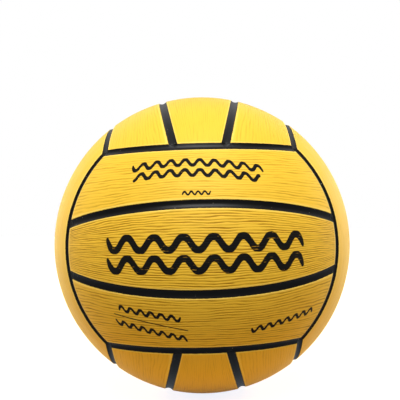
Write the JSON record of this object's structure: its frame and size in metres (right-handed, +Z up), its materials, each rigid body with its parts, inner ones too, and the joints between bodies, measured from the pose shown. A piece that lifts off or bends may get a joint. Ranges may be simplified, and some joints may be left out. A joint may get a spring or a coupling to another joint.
{
  "type": "water polo ball",
  "caption": "Hollow water polo ball with ridged grip panels, recessed black channel strips, a layered rubber wall and a needle valve at the back for inflating it.",
  "frame": {"origin": "centre of the ball", "axes": "-Y is the front, where the picture looks at the middle of a face with three level panels; +Y is the valve's axis, out of the back; +X is right seen from the front; +Z is up"},
  "size_m": [0.21, 0.2099, 0.21],
  "materials": {
    "panel_rubber": "satin, ridged",
    "strip_rubber": "satin",
    "carcass_rubber": "matte",
    "winding_yarn": "wound yarn",
    "bladder_rubber": "satin",
    "valve_rubber": "satin"
  },
  "bodies": {
    "ball": {"front_middle_panel": "panel_rubber", "front_upper_panel": "panel_rubber", "front_upper_divider_strip": "strip_rubber", "front_top_seam_strip": "strip_rubber", "front_lower_panel": "panel_rubber", "front_lower_divider_strip": "strip_rubber", "front_bottom_seam_strip": "strip_rubber", "back_middle_panel": "panel_rubber", "back_upper_panel": "panel_rubber", "back_upper_divider_strip": "strip_rubber", "back_top_seam_strip": "strip_rubber", "back_lower_panel": "panel_rubber", "back_lower_divider_strip": "strip_rubber", "back_bottom_seam_strip": "strip_rubber", "top_middle_panel": "panel_rubber", "top_right_panel": "panel_rubber", "top_right_divider_strip": "strip_rubber", "top_right_seam_strip": "strip_rubber", "top_left_panel": "panel_rubber", "top_left_divider_strip": "strip_rubber", "top_left_seam_strip": "strip_rubber", "bottom_middle_panel": "panel_rubber", "bottom_right_panel": "panel_rubber", "bottom_right_divider_strip": "strip_rubber", "bottom_right_seam_strip": "strip_rubber", "bottom_left_panel": "panel_rubber", "bottom_left_divider_strip": "strip_rubber", "bottom_left_seam_strip": "strip_rubber", "right_middle_panel": "panel_rubber", "right_back_panel": "panel_rubber", "right_back_divider_strip": "strip_rubber", "right_back_seam_strip": "strip_rubber", "right_front_panel": "panel_rubber", "right_front_divider_strip": "strip_rubber", "right_front_seam_strip": "strip_rubber", "left_middle_panel": "panel_rubber", "left_back_panel": "panel_rubber", "left_back_divider_strip": "strip_rubber", "left_back_seam_strip": "strip_rubber", "left_front_panel": "panel_rubber", "left_front_divider_strip": "strip_rubber", "left_front_seam_strip": "strip_rubber", "carcass": "carcass_rubber", "nylon_winding": "winding_yarn", "bladder": "bladder_rubber", "valve_housing": "valve_rubber"},
    "valve_plug": {"valve_plug": "valve_rubber"},
    "upper_lip": {"upper_valve_lip": "valve_rubber"},
    "lower_lip": {"lower_valve_lip": "valve_rubber"}
  },
  "joints": [
    {"name": "plug_pull", "type": "slide", "parent": "ball", "child": "valve_plug", "axis": [0, 1, 0], "range_m": [0, 0.03]},
    {"name": "upper_lip_open", "type": "hinge", "parent": "valve_plug", "child": "upper_lip", "pos_m": [0, 0.09279, 0.00185], "axis": [-1, 0, 0], "range_deg": [0, 12], "stiffness_Nm_per_rad": 0.002},
    {"name": "lower_lip_open", "type": "hinge", "parent": "valve_plug", "child": "lower_lip", "pos_m": [0, 0.09279, -0.00185], "axis": [1, 0, 0], "range_deg": [0, 12], "stiffness_Nm_per_rad": 0.002}
  ],
  "couplings": [
    {"joint": "lower_lip_open", "follows": "upper_lip_open", "ratio": 1}
  ]
}
